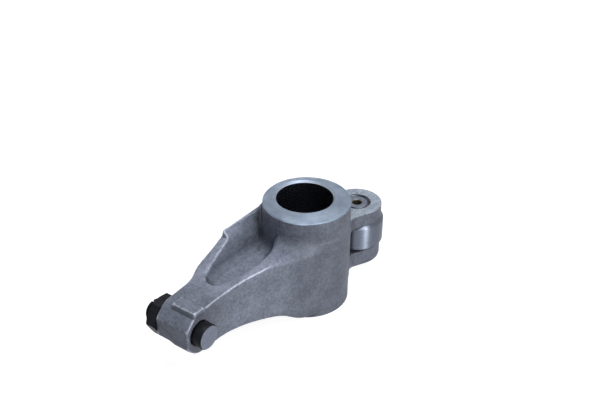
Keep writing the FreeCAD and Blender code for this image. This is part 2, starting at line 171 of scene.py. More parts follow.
tent = bpy.data.worlds.new("tent")
scene.world = tent
tent.use_nodes = True
tent_glow = tent.node_tree.nodes["Background"]
seen_plainly(Wire(tent_glow.outputs[0])).blend(TENT_LEVEL, (1, 1, 1)).feeds(tent_glow.inputs["Color"])


def soft_lamp(name, spot, aim, size, power):
    """An oblong soft lamp of that width and height in metres, at the spot and facing the aim."""
    light = bpy.data.lights.new(name, "AREA")
    light.shape = "RECTANGLE"
    light.size, light.size_y = size
    light.energy = power
    lamp = bpy.data.objects.new(name, light)
    lamp.location = spot
    lamp.rotation_mode = "QUATERNION"
    lamp.rotation_quaternion = (Vector(aim) - Vector(spot)).to_track_quat("-Z", "Y")
    lamp.visible_camera = False
    scene.collection.objects.link(lamp)
    return lamp


soft_lamp("lamp_over", (0.0, 0.05, 1.15), (0.03, 0, 0), (0.7, 0.7), 12)
soft_lamp("lamp_side", (0.25, 0.8, 1.0), LAMPS_AIM, (0.35, 0.35), 4)
soft_lamp("strip_lamp", (0.25, 1.0, 0.3), LAMPS_AIM, (0.22, 0.6), 2)
sheen_lamp = soft_lamp("sheen_lamp", (0.25, 1.0, 0.12), LAMPS_AIM, (0.14, 0.6), 14)
sheen_lamp.visible_diffuse = False


# Rocker body: a drop forging of alloy steel, shot-blasted grey. Its hub, arm and fork flow into each
# other in soft corners; the hub's ends, the ears' tops, the bores and the slot are machined after.
MM = 0.001
HUB_X, HUB_Y, HUB_RADIUS, HUB_HALF = 3.0, 4.1, 30.5, 39.7
HUB_BACK = HUB_Y - HUB_RADIUS
BUSH_RADIUS = 21.7
PIN_X, PIN_Y, PIN_RADIUS = -41.6, 16.7, 10
EYE_RADIUS, EAR_TOP, EAR_LOW = 17.8, 20.3, 24.7
SLOT_RADIUS, SLOT_HALF = 20.4, 10.6
SCREW_X, THREAD_BORE, THREAD_MOUTH = 119.5, 8.05, 9.1
OIL_RADIUS, OIL_Y = 2, -3.775

# the forging's shape is worked out on a grid, as each point's distance from its surface
STEP = 0.8
LOW_CORNER, HIGH_CORNER = np.array((-63.0, -31.0, -44.0)), np.array((137.0, 40.0, 44.5))
X, Y, Z = np.meshgrid(*(np.arange(low, high, STEP) for low, high in zip(LOW_CORNER, HIGH_CORNER)),
                      indexing="ij", sparse=True)
level = np.abs(Z)


def curve(start, end, radius, count=20):
    """Points of an arc from start up to, not at, end. A radius below nil curves to the right."""
    (ax, ay), (bx, by) = start, end
    chord = math.hypot(bx - ax, by - ay)
    reach = math.copysign(math.sqrt(max(radius ** 2 - chord ** 2 / 4, 0)), radius)
    cx = (ax + bx) / 2 - (by - ay) / chord * reach
    cy = (ay + by) / 2 + (bx - ax) / chord * reach
    first = math.atan2(ay - cy, ax - cx)
    turn = math.copysign(2 * math.asin(min(chord / 2 / abs(radius), 1)), radius)
    return [(cx + abs(radius) * math.cos(first + turn * k / count),
             cy + abs(radius) * math.sin(first + turn * k / count)) for k in range(count)]


def soft_corner(before, corner, after, reach, count=7):
    """Points that cut a corner short in a soft curve, from reach before it to reach past it."""
    corner = np.array(corner)
    first, last = (corner + (np.array(other) - corner) * reach / np.linalg.norm(np.array(other) - corner)
                   for other in (before, after))
    return [tuple(first * (1 - t) ** 2 + corner * 2 * t * (1 - t) + last * t ** 2)
            for t in np.linspace(0, 1, count)]


def off_line(corners, u, v):
    """Distance of each point (u, v) from a closed outline, below nil inside it."""
    nearest = np.full(np.broadcast(u, v).shape, 1e9)
    inside = np.zeros(nearest.shape, bool)
    for (ax, ay), (bx, by) in zip(corners, corners[1:] + corners[:1]):
        dx, dy = bx - ax, by - ay
        along = np.clip(((u - ax) * dx + (v - ay) * dy) / max(dx * dx + dy * dy, 1e-12), 0, 1)
        nearest = np.minimum(nearest, (u - ax - along * dx) ** 2 + (v - ay - along * dy) ** 2)
        if ay != by:
            inside ^= ((ay > v) != (by > v)) & (u < (v - ay) * dx / dy + ax)
    return np.where(inside, -1, 1) * np.sqrt(nearest)


def both(a, b, radius):
    """What lies in both shapes, its new edges round."""
    return (np.minimum(-radius, np.maximum(a, b))
            + np.hypot(np.maximum(radius + a, 0), np.maximum(radius + b, 0)))


def either(a, b, radius):
    """Both shapes together, their new corners filled round."""
    return -both(-a, -b, radius)


# the hub, with metal left on its ends for the facing
FACING_SPARE = 2
hub_round = np.hypot(X - HUB_X, Y - HUB_Y) - HUB_RADIUS
hub = np.maximum(hub_round, level - HUB_HALF - FACING_SPARE)

# the arm's outline from above: its back runs straight, then in to the tip block; its front is swept in
TIP_END, TIP_FRONT, TIP_BACK, TIP_HALF = 130.9, 5.7, -20.8, 6.9
WAIST, WAIST_RADIUS = (91, -23.6), 31.58
SWEEP_START, SWEEP_RADIUS = (70.58, 11.81), 100
arm_plan = ([(HUB_X, HUB_BACK)] + curve((78, HUB_BACK), WAIST, WAIST_RADIUS)
            + curve(WAIST, (104, TIP_BACK), -WAIST_RADIUS)
            + soft_corner((104, TIP_BACK), (TIP_END, TIP_BACK), (TIP_END, TIP_FRONT), 0.9)
            + soft_corner((TIP_END, TIP_BACK), (TIP_END, TIP_FRONT), (105, TIP_FRONT), 2.0)
            + curve((105, TIP_FRONT), SWEEP_START, -SWEEP_RADIUS)
            + [SWEEP_START, (13.5, 32.74), (HUB_X, HUB_Y)])
plan = off_line(arm_plan, X, Y)

# its two outlines from the side: the front flange low and even, the back one high and stepped down
NECK, SHOULDER = (95, 16.2), (122.6, 15.1)
ARM_ROOT, FAR_DOWN = -20, -60
FRONT_CREST, FRONT_BOW, FRONT_DEEPER = 21.3, 600, 0.9
BACK_CREST, BACK_STEP, BACK_SWEEP = 31.4, (58.8, 27.6), 110
FLANGES_MEET = -8.5


def flank(start):
    """An outline from the side, above the middle plane: its start at the hub, the neck, the tip
    block's top, and the slope at its end, closed far below the middle plane."""
    end = (TIP_END, TIP_HALF)
    return (start + [NECK] + soft_corner(NECK, SHOULDER, end, 5)
            + [end, (TIP_END + 6, 1), (TIP_END + 6, FAR_DOWN), (ARM_ROOT, FAR_DOWN)])


front_line = flank([(ARM_ROOT, FRONT_CREST)] + curve((57.1, FRONT_CREST), NECK, FRONT_BOW))
front_top = off_line(front_line, X, level) - FRONT_DEEPER * (Z < 0)
back_line = flank([(ARM_ROOT, BACK_CREST), (57.2, BACK_CREST)] + curve(BACK_STEP, NECK, BACK_SWEEP))
back_top = off_line(back_line, X, level)

# below its crest the back flange leans inwards, the more the nearer the hub
lean = np.interp(X, (24, 34, 44, 53, 60, 72), (2.1, 1.3, 0.9, 0.67, 0.6, 0.2))
back_top = np.maximum(back_top, (level - BACK_CREST + lean * (Y - HUB_BACK)) / np.hypot(1, lean))
tops = either(both(back_top, Y - FLANGES_MEET, 2), both(front_top, FLANGES_MEET - Y, 2), 3)

# its long edges are round, the front flange's most near the hub; underneath they are tighter
LOWER_ROUND = 2.5
edge_round = np.where(Y > FLANGES_MEET, np.interp(X, (15, 48, 64, 100, 112), (9, 4.5, 0.8, 0.8, 0.9)),
                      np.interp(X, (90, 112), (0.4, 0.9)))
edge_round = np.where(Z < 0, np.minimum(edge_round, LOWER_ROUND), edge_round)

# it runs into the hub in a hollow blend, a deep one under its front, which ends above the hub's foot
BLEND_FOOT, BLEND_FOOT_ROUND = -37, 5
blend = np.where(Z < 0, np.interp(Y, (-16, 6), (4.5, 34)), np.interp(Y, (-16, -4), (4.5, 8)))
arm = both(either(tops, hub_round, blend), plan, edge_round)
arm = both(arm, BLEND_FOOT - Z, BLEND_FOOT_ROUND)

# the pockets in its upper and lower side: drafted walls and a floor that runs up round at their foot
WEB_HALF, WEB_FRONT, WEB_END = 9.5, 3, 105
DRAFT, POCKET_FOOT_ROUND = math.radians(8), 5.5
pocket_nose, pocket_nose_end, pocket_belly = (86, -15.3), (89, -2.5), (58, 5.4)
pocket_plan = ([(20, -16.5)] + curve((56, -18), pocket_nose, 112)
               + curve(pocket_nose, pocket_nose_end, 7) + curve(pocket_nose_end, pocket_belly, 72)
               + soft_corner(pocket_belly, (47, 4.6), (33, -2.6), 9) + [(20, -9.5)])
walls = (off_line(pocket_plan, X, Y) - (level - WEB_HALF) * math.tan(DRAFT)) * math.cos(DRAFT)
floor_rise = np.interp(X, (60, 96), (0, 2.5))
pocket = both(walls, WEB_HALF + floor_rise - level, POCKET_FOOT_ROUND)
rim_round = np.interp(X, (34, 58), (3.2, 1.4))
arm = both(arm, -pocket, rim_round)
web_plan = both(plan, np.maximum(Y - WEB_FRONT, X - WEB_END), 0.5)
arm = np.minimum(arm, both(either(level - WEB_HALF, hub_round, 8), web_plan, 0.5))

# the raised pad on the tip block's upper side
PAD_X, PAD_HALF_X, PAD_Y, PAD_HALF_Y = 118.9, 4.8, -3.6, 9.7
PAD_TOP, PAD_FOOT, PAD_ROUND = 17.3, 14, 1.3
pad_plan = np.maximum(np.abs(X - PAD_X) - PAD_HALF_X, np.abs(Y - PAD_Y) - PAD_HALF_Y)
pad = both(both(pad_plan, level - PAD_TOP, PAD_ROUND), PAD_FOOT - Z, 0.5)
arm = either(arm, pad, 0.5)

# the fork's lug: an eye round the pin, drawn in to the hub, with metal left on top for the milling
LUG_LENGTH, LUG_TURN, LUG_TAPER = 46.346, math.radians(164.224), math.radians(10.3)
LUG_AT_HUB, MILLING_SPARE, EAR_LOW_ROUND = 5.5, 1.5, 4
eye_end, eye_half = EYE_RADIUS * math.sin(LUG_TAPER), EYE_RADIUS * math.cos(LUG_TAPER)
lug_root = eye_half - (LUG_LENGTH - eye_end) * math.tan(LUG_TAPER)
lug_line = (curve((-eye_end, -eye_half), (EYE_RADIUS, 0), EYE_RADIUS)
            + curve((EYE_RADIUS, 0), (-eye_end, eye_half), EYE_RADIUS)
            + [(-eye_end, eye_half), (-LUG_LENGTH, lug_root), (-LUG_LENGTH, -lug_root)])
lug_line = [(PIN_X + u * math.cos(LUG_TURN) - v * math.sin(LUG_TURN),
             PIN_Y + u * math.sin(LUG_TURN) + v * math.cos(LUG_TURN)) for u, v in lug_line]
lug = both(either(off_line(lug_line, X, Y), hub_round, LUG_AT_HUB), Z - EAR_TOP - MILLING_SPARE, 0.5)
lug = both(lug, -EAR_LOW - Z, EAR_LOW_ROUND)

# arm, hub and lug run together softly where they meet
RUN_TOGETHER = 1.6
together = sum(np.exp(np.clip(-shape * RUN_TOGETHER, -60, 60)) for shape in (arm, hub, lug))
forging = np.maximum(-np.log(together) / RUN_TOGETHER, level - HUB_HALF - FACING_SPARE)


def sampled(values, spots):
    """The grid's values at any spots, in millimetres."""
    where = (spots - LOW_CORNER) / STEP
    low = np.clip(np.floor(where).astype(int), 0, np.array(values.shape) - 2)
    share = where - low
    total = 0
    for corner in np.ndindex(2, 2, 2):
        weight = np.prod(np.where(np.array(corner) == 1, share, 1 - share), axis=1)
        total = total + weight * values[tuple((low + corner).T)]
    return total


def skin(values):
    """Points, four-sided faces and outward ways of the surface on which the grid's values are nil: one
    point in each cell that it passes through, drawn onto it."""
    cells_shape = np.array(values.shape) - 1
    spots, hits, rims = np.zeros((*cells_shape, 3)), np.zeros(cells_shape), []
    for axis in range(3):
        here, there = [slice(None)] * 3, [slice(None)] * 3
        here[axis], there[axis] = slice(None, -1), slice(1, None)
        low, high = values[tuple(here)], values[tuple(there)]
        edges = np.argwhere((low < 0) != (high < 0))
        low, high = low[tuple(edges.T)], high[tuple(edges.T)]
        crossing = edges.astype(float)
        crossing[:, axis] += low / (low - high)
        cells = []
        for du, dv in ((1, 1), (0, 1), (0, 0), (1, 0)):
            cell = edges.copy()
            cell[:, (axis + 1) % 3] -= du
            cell[:, (axis + 2) % 3] -= dv
            cells.append(cell)
            np.add.at(spots, tuple(cell.T), crossing)
            np.add.at(hits, tuple(cell.T), 1)
        rims.append((cells, low < 0))
    used = hits > 0
    numbers = np.full(used.shape, -1)
    numbers[used] = np.arange(used.sum())
    spots = spots[used] / hits[used][:, None] * STEP + LOW_CORNER
    faces = []
    for cells, leaving in rims:
        quad = np.stack([numbers[tuple(cell.T)] for cell in cells], axis=1)
        faces.append(np.where(leaving[:, None], quad, quad[:, ::-1]))
    for _ in range(2):
        slope = np.stack([sampled(values, spots + step) - sampled(values, spots - step)
                          for step in np.eye(3) * STEP / 2], axis=1) / STEP
        away = sampled(values, spots) / np.maximum((slope ** 2).sum(1), 0.25)
        spots = spots - slope * np.clip(away, -STEP / 2, STEP / 2)[:, None]
    return spots, np.concatenate(faces), slope / np.linalg.norm(slope, axis=1)[:, None]


def mesh_piece(name, spots, faces):
    """A piece from points in millimetres and their faces."""
    mesh = bpy.data.meshes.new(name)
    mesh.from_pydata((np.asarray(spots) * MM).tolist(), [], faces)
    piece = bpy.data.objects.new(name, mesh)
    scene.collection.objects.link(piece)
    return piece


def ripple(spots, width):
    """Soft waves over the spots, about as wide as asked, from -1 to 1."""
    ways = np.array([(1, 0.31, -0.52), (-0.43, 1, 0.27), (0.36, -0.48, 1), (0.8, 0.7, -0.6),
                     (-0.7, 0.5, 0.9)])
    starts = np.array([0.3, 1.9, 4.1, 2.6, 5.2])
    return np.sin(spots @ ways.T * 2 * math.pi / width + starts).sum(1) / len(starts)


# its skin, with the soft waves that a die leaves
FORGED_WAVE = 0.05
skin_spots, skin_faces, skin_ways = skin(forging)
waves = FORGED_WAVE * (ripple(skin_spots, 23) + 0.6 * ripple(skin_spots[:, ::-1], 9))
body = mesh_piece("rocker_forging", skin_spots + skin_ways * waves[:, None], skin_faces.tolist())


def turned(name, profile, spot=(0, 0, 0), axis=(0, 0, 1), sides=128):
    """A closed turned piece from its profile of (radius, height), its axis through the spot."""
    made = bmesh.new()
    upright = Vector(axis).to_track_quat("Z", "X").to_matrix().to_4x4()
    place = Matrix.Translation(Vector(spot) * MM) @ upright
    rings = []
    for radius, height in profile:
        turns = [2 * math.pi * k / sides for k in range(sides if radius else 1)]
        ring = [Vector((radius * math.cos(turn), radius * math.sin(turn), height)) for turn in turns]
        rings.append([made.verts.new(place @ (corner * MM)) for corner in ring])
    if profile[0][0] or profile[-1][0]:
        rings.append(rings[0])
    for low, high in zip(rings, rings[1:]):
        for k in range(sides):
            corners = [low[k % len(low)], low[(k + 1) % len(low)],
                       high[(k + 1) % len(high)], high[k % len(high)]]
            corners = list(dict.fromkeys(corners))
            if len(corners) > 2:
                made.faces.new(corners)
    bmesh.ops.recalc_face_normals(made, faces=made.faces)
    mesh = bpy.data.meshes.new(name)
    made.to_mesh(mesh)
    made.free()
    piece = bpy.data.objects.new(name, mesh)
    scene.collection.objects.link(piece)
    return piece


def bar(name, radius, low, high, spot=(0, 0, 0), axis=(0, 0, 1), sides=128):
    """A plain round bar between two heights."""
    return turned(name, [(0, low), (radius, low), (radius, high), (0, high)], spot, axis, sides)


def machine(piece, *tools, operation="DIFFERENCE"):
    """Cuts each tool out of the piece, or leaves only what both share, then puts the tool away."""
    for tool in tools:
        cut = piece.modifiers.new("cut", "BOOLEAN")
        cut.object = tool
        cut.solver = "MANIFOLD"
        cut.operation = operation
        bpy.context.view_layer.objects.active = piece
        bpy.ops.object.modifier_apply(modifier=cut.name)
        bpy.data.objects.remove(tool)
    piece.data.materials.clear()


def fair(piece, angle=35):
    """Smooth faces, with sharp edges where they meet at more than the angle."""
    piece.data.shade_smooth()
    piece.data.set_sharp_from_angle(angle=math.radians(angle))


def facing(name, way):
    """The tool that faces a hub end and chamfers its rim."""
    rim, level_off = HUB_RADIUS - 0.35, HUB_HALF - 1
    return turned(name, [(0, way * 50), (0, way * HUB_HALF), (rim, way * HUB_HALF),
                         (rim + 1, way * level_off), (40, way * level_off), (40, way * 50)],
                  (HUB_X, HUB_Y, 0), sides=192)


# slot and ear tops run up to the hub's wall, on the fork's side of it only
SLOT_REACH, EAR_REACH, EAR_CLEAR = 44, 80, 26
slot_wall, ear_wall = HUB_RADIUS + 0.6, HUB_RADIUS + 0.5
slot_run = turned("slot_run", [(slot_wall, -SLOT_HALF), (SLOT_REACH, -SLOT_HALF),
                               (SLOT_REACH, SLOT_HALF), (slot_wall, SLOT_HALF)],
                  (HUB_X, HUB_Y, 0), sides=192)
machine(slot_run, bar("slot_run_end", 120, 0, 120, (-16, 0, 0), (1, 0, 0), 8))
ear_mill = turned("ear_mill", [(ear_wall, EAR_TOP), (EAR_REACH, EAR_TOP),
                               (EAR_REACH, EAR_CLEAR), (ear_wall, EAR_CLEAR)],
                  (HUB_X, HUB_Y, 0), sides=192)
machine(ear_mill, bar("ear_mill_end", 120, 0, 120, (-6, 0, 0), (1, 0, 0), 8))

machine(body, facing("upper_facing", 1), facing("lower_facing", -1), ear_mill, slot_run,
        bar("bush_seat", BUSH_RADIUS, -60, 60, sides=192),
        bar("slot_mill", SLOT_RADIUS, -SLOT_HALF, SLOT_HALF, (PIN_X, PIN_Y, 0), sides=192),
        bar("pin_seat", PIN_RADIUS, -30, 30, (PIN_X, PIN_Y, 0)),
        turned("screw_hole", [(0, -30), (THREAD_MOUTH, -30), (THREAD_MOUTH, -20.4), (THREAD_BORE, -19.4),
                              (THREAD_BORE, 4.5), (THREAD_MOUTH, 5.6), (THREAD_MOUTH, 8), (0, 8)],
               (SCREW_X, 0, 0), (0, 1, 0)),
        bar("oil_drill", OIL_RADIUS, 0, 119, (0, OIL_Y, 0), (1, 0, 0), 32))
fair(body)
body_mesh = body.data


def rows_of(items, what):
    """Rows of x, y and z, in millimetres, for each of a mesh's points or faces."""
    values = np.empty(len(items) * 3)
    items.foreach_get(what, values)
    return values.reshape(-1, 3) / MM


# where the surface is a crest it is painted brighter, partly rubbed wear and partly painted highlight;
# where it is a hollow it is painted darker, as painted shade
bend = sum(np.roll(forging, 1, axis) + np.roll(forging, -1, axis) - 2 * forging
           for axis in range(3)) / STEP ** 2
bend_at_spots = np.clip(sampled(bend, rows_of(body_mesh.vertices, "co")), -1, 1)
bend_attribute = body_mesh.attributes.new("bend", "FLOAT", "POINT")
bend_attribute.data.foreach_set("value", bend_at_spots.astype(np.float32))

# the machined faces are those that lie on the tools' own faces
centre_x, centre_y, centre_z = rows_of(body_mesh.polygons, "center").T
from_pin = np.hypot(centre_x - PIN_X, centre_y - PIN_Y)
hub_ends = (centre_z > HUB_HALF - 0.9) | (centre_z < -HUB_HALF + 0.05)
ear_tops = (np.abs(centre_z - EAR_TOP) < 0.02) & (centre_x < -6)
in_bush_seat = np.hypot(centre_x, centre_y) < BUSH_RADIUS + 0.1
in_pin_seat = from_pin < PIN_RADIUS + 0.1
in_slot = (from_pin < SLOT_RADIUS + 0.05) & (np.abs(centre_z) < SLOT_HALF + 0.05)
in_screw_hole = (np.hypot(centre_x - SCREW_X, centre_z) < THREAD_MOUTH + 0.1) & (np.abs(centre_y) < 22)
bored = (in_bush_seat | in_pin_seat | in_slot | in_screw_hole) & ~hub_ends & ~ear_tops
body_mesh.polygons.foreach_set("material_index",
                               (hub_ends * 1 + ear_tops * 2 + bored * 3).astype(np.int32))


def grain(place, width, detail):
    """Uneven spots about as wide as asked, in millimetres, from 0 to 1."""
    return place.node("TexNoise", None, {"Vector": place, "Scale": 1 / (width * MM), "Detail": detail})


def stretched(place, ways):
    """The place with each of its three ways made longer or shorter."""
    return place.node("VectorMath", {"operation": "MULTIPLY"}, {0: place, 1: ways})


def from_axis(place, x, y):
    """Distance in metres from the upright axis at (x, y), which is in millimetres."""
    off_axis = place.node("VectorMath", {"operation": "SUBTRACT"}, {0: place, 1: (x * MM, y * MM, 0)})
    flat = stretched(off_axis, (1, 1, 0))
    return flat.node("VectorMath", {"operation": "LENGTH"}, {0: flat}, out=1)


def dented(shader, height, depth):
    """Makes the shader's surface stand out where the height is high, by the depth in millimetres."""
    bump = height.node("Bump", None, {"Height": height, "Distance": depth * MM, "Strength": 1.0})
    bump.feeds(shader.inputs["Normal"])


def forged_finish():
    """Shot-blasted skin: fine dents and cloudy grey, with painted light making it paler along the arm's
    middle, crests brighter as rubbed wear and painted highlight, and painted shade darkening the hollows."""
    finish, shader, place = new_finish("forged_steel")
    bend_at = place.node("Attribute", {"attribute_name": "bend"}, out=2)
    clouds, mottle, dents = grain(place, 14, 3), grain(place, 2.2, 4), grain(place, 0.55, 2)
    tone = (clouds * 0.25 + mottle * 0.35 + dents * 0.4).between(0.36, 0.64)
    plain = tone.blend((0.05, 0.058, 0.082), (0.122, 0.138, 0.18))
    paler = tone.blend((0.093, 0.106, 0.145), (0.213, 0.237, 0.302))
    # painted light: the arm's middle, about 28 to 112 mm out, is painted paler
    along = place.node("SeparateXYZ", None, {"Vector": place})
    painted_light_middle = along.between(28 * MM, 60 * MM) * (1 - along.between(84 * MM, 112 * MM))
    skin_tone = (painted_light_middle * 0.8 + clouds * 0.3).blend(plain, paler)
    # painted shade: the hollows are darkened almost to black
    hollow = (bend_at * -1).between(0.05, 0.3)
    skin_tone = (hollow * 0.8).blend(skin_tone, (0.035, 0.04, 0.056))
    # painted highlight and rubbed wear: the crests are brightened
    crest = (bend_at + (mottle - 0.5) * 0.5).between(0.4, 1.05)
    (crest * 0.6).blend(skin_tone, (0.42, 0.46, 0.55)).feeds(shader.inputs["Base Color"])
    (0.62 - crest * 0.2 + (mottle - 0.5) * 0.2).feeds(shader.inputs["Roughness"])
    shader.inputs["Metallic"].default_value = 0.25
    dented(shader, dents + mottle * 0.8, 0.12)
    return finish


def turned_finish(name, dark, light, roughness):
    """A faced end: rings of fine tool marks round the shaft bore's axis."""
    finish, shader, place = new_finish(name)
    radius = from_axis(place, 0, 0)
    rings = radius.node("TexNoise", {"noise_dimensions": "1D"},
                        {"W": radius, "Scale": 1 / (0.35 * MM), "Detail": 3.0})
    tone = rings * 0.5 + grain(place, 9, 3) * 0.5
    tone.between(0.3, 0.7).blend(dark, light).feeds(shader.inputs["Base Color"])
    (rings * 0.2 + (roughness - 0.1)).feeds(shader.inputs["Roughness"])
    shader.inputs["Metallic"].default_value = 0.7
    dented(shader, rings, 0.25)
    return finish


def milled_finish(name, dark, light, roughness):
    """A milled or ground flat: fine scratches both ways and a few brighter specks."""
    finish, shader, place = new_finish(name)
    scratches = [grain(stretched(place, ways), 1, 3) for ways in ((0.12, 2.5, 1), (2.2, 0.15, 1))]
    tone = scratches[0] * 0.4 + scratches[1] * 0.25 + grain(place, 1.2, 4) * 0.35
    tone.between(0.32, 0.68).blend(dark, light).feeds(shader.inputs["Base Color"])
    (scratches[0] * 0.25 + (roughness - 0.12)).feeds(shader.inputs["Roughness"])
    shader.inputs["Metallic"].default_value = 0.8
    dented(shader, scratches[0] + scratches[1], 0.03)
    return finish


for body_finish in (forged_finish(),
                    turned_finish("faced_steel", (0.12, 0.155, 0.208), (0.235, 0.29, 0.37), 0.4),
                    milled_finish("milled_steel", (0.1, 0.125, 0.165), (0.4, 0.45, 0.53), 0.42),
                    milled_finish("bored_steel", (0.06, 0.065, 0.08), (0.14, 0.15, 0.18), 0.4)):
    body_mesh.materials.append(body_finish)
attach(body, "arm")
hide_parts("rocker_body")


# Shaft bush: a thin steel bush pressed into the hub and bored for the rocker shaft, bright at its
# chamfers and painted near black inside, as painted shade. One oil hole in its wall meets the
# drilling in the arm.
SHAFT_RADIUS, BORE_HALF = 20, 38.15
CHAMFER_RADIUS, CHAMFER_HALF, BUSH_HALF = 21.45, 39.6, 39.68
bush_end = [(SHAFT_RADIUS, BORE_HALF), (CHAMFER_RADIUS, CHAMFER_HALF), (BUSH_RADIUS, BUSH_HALF)]
bush = turned("shaft_bush_liner", [(radius, -height) for radius, height in bush_end] + bush_end[::-1],
              sides=192)
machine(bush, bar("bush_oil_drill", OIL_RADIUS, 10, 30, (0, OIL_Y, 0), (1, 0, 0), 32))
fair(bush, 25)
bush.data.materials.append(turned_finish("bush_rim_steel", (0.18, 0.22, 0.28), (0.31, 0.36, 0.44), 0.4))
# painted shade: the bore is coloured near black for the shade inside it
bush.data.materials.append(milled_finish("bush_bore_painted_shade", (0.02, 0.022, 0.03), (0.05, 0.055, 0.07), 0.25))
for face in bush.data.polygons:
    face.material_index = int(abs(face.center.z) < (BORE_HALF - 0.05) * MM)
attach(bush, "arm")
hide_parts("shaft_bush")


# Cam roller: a hardened ring, ground and polished, its rims chamfered and soft at their edges. A
# bronze bush floats between it and the pin.
ROLLER_RADIUS, ROLLER_TRACK_HALF, ROLLER_BORE = 19.6, 8.45, 12.28
ROLLER_FACE_RADIUS, ROLLER_HALF = 17.7, 10.35
RING_BORE, RING_RADIUS = 10.04, 12.24


def eased(profile, reach=0.2):
    """The closed profile with each of its corners cut soft."""
    corners = []
    for before, corner, after in zip(profile[-1:] + profile[:-1], profile, profile[1:] + profile[:1]):
        corners += soft_corner(before, corner, after, reach, 4)
    return corners


def polished_finish():
    """Ground and polished hard steel: fine grinding lines round the roller."""
    finish, shader, place = new_finish("polished_steel")
    lines = grain(stretched(place, (0.05, 0.05, 1.0)), 0.25, 2)
    shade = lines.between(0.2, 0.8).blend((0.09, 0.104, 0.135), (0.145, 0.163, 0.205))
    shade.feeds(shader.inputs["Base Color"])
    (lines * 0.1 + 0.38).feeds(shader.inputs["Roughness"])
    shader.inputs["Metallic"].default_value = 1.0
    shader.inputs["Anisotropic"].default_value = 0.85
    shader.inputs["Anisotropic Rotation"].default_value = 0.25
    dented(shader, lines, 0.01)
    return finish


roller_half = [(ROLLER_BORE, ROLLER_HALF), (ROLLER_FACE_RADIUS, ROLLER_HALF),
               (ROLLER_RADIUS, ROLLER_TRACK_HALF)]
roller = turned("roller_ring", eased([(radius, -height) for radius, height in roller_half]
                                     + roller_half[::-1]), (PIN_X, PIN_Y, 0), sides=256)
fair(roller, 25)
roller.data.materials.append(polished_finish())
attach(roller, "roller")
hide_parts("roller")

floating_bush = turned("floating_bush_ring", eased([(RING_BORE, -ROLLER_HALF), (RING_RADIUS, -ROLLER_HALF),
                                                    (RING_RADIUS, ROLLER_HALF), (RING_BORE, ROLLER_HALF)]),
                       (PIN_X, PIN_Y, 0))
fair(floating_bush, 25)
floating_bush.data.materials.append(milled_finish("bronze", (0.3, 0.18, 0.07), (0.5, 0.32, 0.13), 0.35))
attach(floating_bush, "floating_bush")
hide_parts("roller_bush")


# Roller pin: a ground steel pin pressed through both ears and staked at each end, which leaves two
# rings round its face, coloured darker from the face's edge out. Its oil bore is coloured brassy.
PIN_HALF, PIN_FACE_RADIUS, PIN_BORE = 20.05, 7.2, 3.4
pin_end = [(PIN_RADIUS, PIN_HALF - 0.3), (9.9, PIN_HALF - 0.15), (9.3, PIN_HALF - 0.15),
           (9.0, PIN_HALF - 0.85), (8.7, PIN_HALF - 0.3), (8.35, PIN_HALF - 0.25),
           (8.05, PIN_HALF - 0.9), (7.7, PIN_HALF - 0.15), (PIN_FACE_RADIUS, PIN_HALF),
           (4.0, PIN_HALF), (PIN_BORE, PIN_HALF - 0.6)]
pin = turned("pin_shank", pin_end + [(radius, -height) for radius, height in pin_end[::-1]],
             (PIN_X, PIN_Y, 0))
fair(pin, 25)


def pin_finish():
    """Ground pin ends, darker from the face's edge out over the staking rings, and brassy in the oil bore.
    """
    finish, shader, place = new_finish("pin_steel")
    radius = from_axis(place, PIN_X, PIN_Y)
    face = (grain(place, 1.4, 4) * 0.6 + grain(place, 6, 2) * 0.4).between(0.3, 0.7)
    tone = face.blend((0.085, 0.1, 0.13), (0.155, 0.175, 0.22))
    rim = radius.between(PIN_FACE_RADIUS * MM, 7.7 * MM)
    tone = (rim * grain(place, 7, 1).between(0.35, 0.6) * 0.85).blend(tone, (0.03, 0.032, 0.04))
    bore = 1 - radius.between(3.3 * MM, 4.0 * MM)
    bore.blend(tone, (0.12, 0.105, 0.07)).feeds(shader.inputs["Base Color"])
    (face * 0.15 + 0.35).feeds(shader.inputs["Roughness"])
    shader.inputs["Metallic"].default_value = 0.8
    dented(shader, face, 0.02)
    return finish


pin.data.materials.append(pin_finish())
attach(pin, "arm")
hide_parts("roller_pin")


# Adjusting screw: black oxidised, with a fine thread all along, a driver slot in its tail, and a neck
# and ball at the other end that the foot swivels on.
PITCH, THREAD_DEPTH, ROWS_A_PITCH, SCREW_SIDES = 1.5, 0.85, 8, 96
SCREW_RADIUS, SCREW_TAIL, SCREW_SHOULDER, END_BEVEL = 8.0, -34.5, 3.7, 1.2
BALL_RADIUS, BALL_HEIGHT, SCREW_NECK = 4, 8.46, 2.6
BALL_START, BALL_END, BALL_ROWS = -49.5, 36.9, 14
SAW_HALF, SAW_DEPTH = 1.1, 2.6

turns = np.arange(SCREW_SIDES) / SCREW_SIDES
screw_rows = []
for height in np.arange(SCREW_TAIL, SCREW_SHOULDER + 1e-6, PITCH / ROWS_A_PITCH):
    wave = np.abs(((height - SCREW_TAIL) / PITCH - turns) % 1 * 2 - 1)
    crest = np.clip(wave * 1.3 - 0.1, 0, 1) * THREAD_DEPTH
    room = min(height - SCREW_TAIL, SCREW_SHOULDER - height)
    radii = np.minimum(SCREW_RADIUS - THREAD_DEPTH + crest, SCREW_RADIUS - END_BEVEL + room)
    screw_rows.append((height, radii))
screw_rows.append((SCREW_SHOULDER, np.full(SCREW_SIDES, SCREW_NECK)))
for turn in np.radians(np.linspace(BALL_START, BALL_END, BALL_ROWS)):
    screw_rows.append((BALL_HEIGHT + BALL_RADIUS * math.sin(turn),
                       np.full(SCREW_SIDES, BALL_RADIUS * math.cos(turn))))

